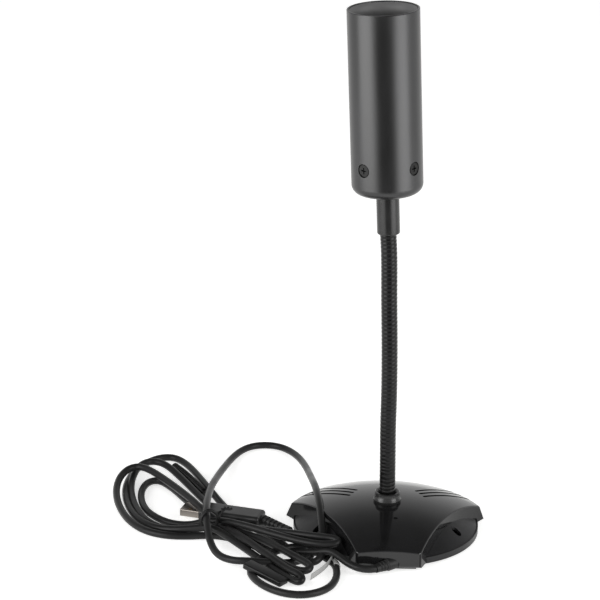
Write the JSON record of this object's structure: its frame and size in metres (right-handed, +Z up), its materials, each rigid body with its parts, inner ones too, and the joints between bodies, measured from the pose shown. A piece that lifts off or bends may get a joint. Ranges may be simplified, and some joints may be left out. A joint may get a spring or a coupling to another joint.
{
  "type": "desktop microphone",
  "caption": "Desktop gooseneck microphone: an open-topped cylindrical head on a bendable ribbed neck over a weighted domed base, with a hanked lead ending in a USB plug.",
  "frame": {"origin": "centre of the base's footprint, on the surface that the rubber feet stand on", "axes": "+Z up; -Y towards the nose of the base, where the lead leaves; +X to the right when looking along +Y"},
  "size_m": [0.229, 0.2263, 0.324],
  "materials": {
    "gloss_shell": "glossy black ABS",
    "matte_tray": "fine-grained black ABS",
    "rubber_foot": "matt black rubber",
    "dark_steel": "black oxide",
    "steel_plate": "zinc plated",
    "circuit_board": "green solder mask",
    "chip_resin": "moulded resin",
    "socket_white": "natural nylon",
    "led_lens": "smoked clear lens",
    "collar_metal": "black anodised, satin",
    "neck_metal": "black coated steel, satin",
    "lead_pvc": "soft black sheath",
    "head_metal": "dark anodised, satin",
    "capsule_metal": "turned",
    "foam": "open-cell acoustic foam",
    "grille_steel": "black coated woven mesh",
    "cable_pvc": "satin black PVC",
    "tie_plastic": "plastic-coated wire tie",
    "paper_label": "blank white paper",
    "plug_nickel": "nickel plated",
    "plug_tongue": "white insulator",
    "contact_gold": "gold plated",
    "plug_body": "satin black overmould"
  },
  "bodies": {
    "base": {"base_top_shell": "gloss_shell", "base_tray": "matte_tray", "rubber_feet": "rubber_foot", "bottom_screws": "dark_steel", "ballast_plate": "steel_plate", "ballast_screws": "dark_steel", "codec_board": "circuit_board", "board_posts": "matte_tray", "codec_chip": "chip_resin", "lead_socket": "socket_white", "mic_socket": "socket_white", "status_led": "led_lens", "neck_collar": "collar_metal", "neck_stud": "steel_plate", "collar_nut": "steel_plate", "collar_washer": "steel_plate", "neck_coil_root": "neck_metal", "neck_lead_root": "lead_pvc", "cable_strain_relief": "cable_pvc", "cable_hank": "cable_pvc", "cable_lead": "cable_pvc", "cable_high_loop": "cable_pvc", "cable_low_loop": "cable_pvc", "cable_twist_tie": "tie_plastic", "cable_label": "paper_label", "usb_plug_shell": "plug_nickel", "usb_plug_tongue": "plug_tongue", "usb_contacts": "contact_gold", "usb_plug_body": "plug_body", "usb_plug_relief": "plug_body"},
    "neck_1": {"neck_coil_1": "neck_metal", "neck_lead_1": "lead_pvc"},
    "neck_2": {"neck_coil_2": "neck_metal", "neck_lead_2": "lead_pvc"},
    "neck_3": {"neck_coil_3": "neck_metal", "neck_lead_3": "lead_pvc"},
    "neck_4": {"neck_coil_4": "neck_metal", "neck_lead_4": "lead_pvc"},
    "neck_5": {"neck_coil_5": "neck_metal", "neck_lead_5": "lead_pvc"},
    "head": {"neck_coil_top": "neck_metal", "neck_lead_top": "lead_pvc", "neck_ferrule": "collar_metal", "head_end_plug": "matte_tray", "head_tube": "head_metal", "head_screws": "dark_steel", "capsule_holder": "matte_tray", "capsule_gasket": "rubber_foot", "mic_capsule": "capsule_metal", "capsule_lead": "lead_pvc", "foam_disc": "foam", "grille_mesh": "grille_steel", "grille_ring": "dark_steel"}
  },
  "joints": [
    {"name": "neck_bend_1", "type": "hinge", "parent": "base", "child": "neck_1", "pos_m": [-0.00027, -0.0075, 0.044], "axis": [1, 0, 0], "range_deg": [-25, 25]},
    {"name": "neck_bend_2", "type": "hinge", "parent": "neck_1", "child": "neck_2", "pos_m": [-0.00073, -0.0075, 0.07059], "axis": [0, 1, 0], "range_deg": [-25, 25]},
    {"name": "neck_bend_3", "type": "hinge", "parent": "neck_2", "child": "neck_3", "pos_m": [-0.00078, -0.0075, 0.09719], "axis": [1, 0, 0], "range_deg": [-25, 25]},
    {"name": "neck_bend_4", "type": "hinge", "parent": "neck_3", "child": "neck_4", "pos_m": [-0.00134, -0.0075, 0.12379], "axis": [0, 1, 0], "range_deg": [-25, 25]},
    {"name": "neck_bend_5", "type": "hinge", "parent": "neck_4", "child": "neck_5", "pos_m": [-0.00226, -0.0075, 0.15037], "axis": [1, 0, 0], "range_deg": [-25, 25]},
    {"name": "neck_bend_6", "type": "hinge", "parent": "neck_5", "child": "head", "pos_m": [-0.00305, -0.0075, 0.17696], "axis": [0, 1, 0], "range_deg": [-25, 25]}
  ]
}
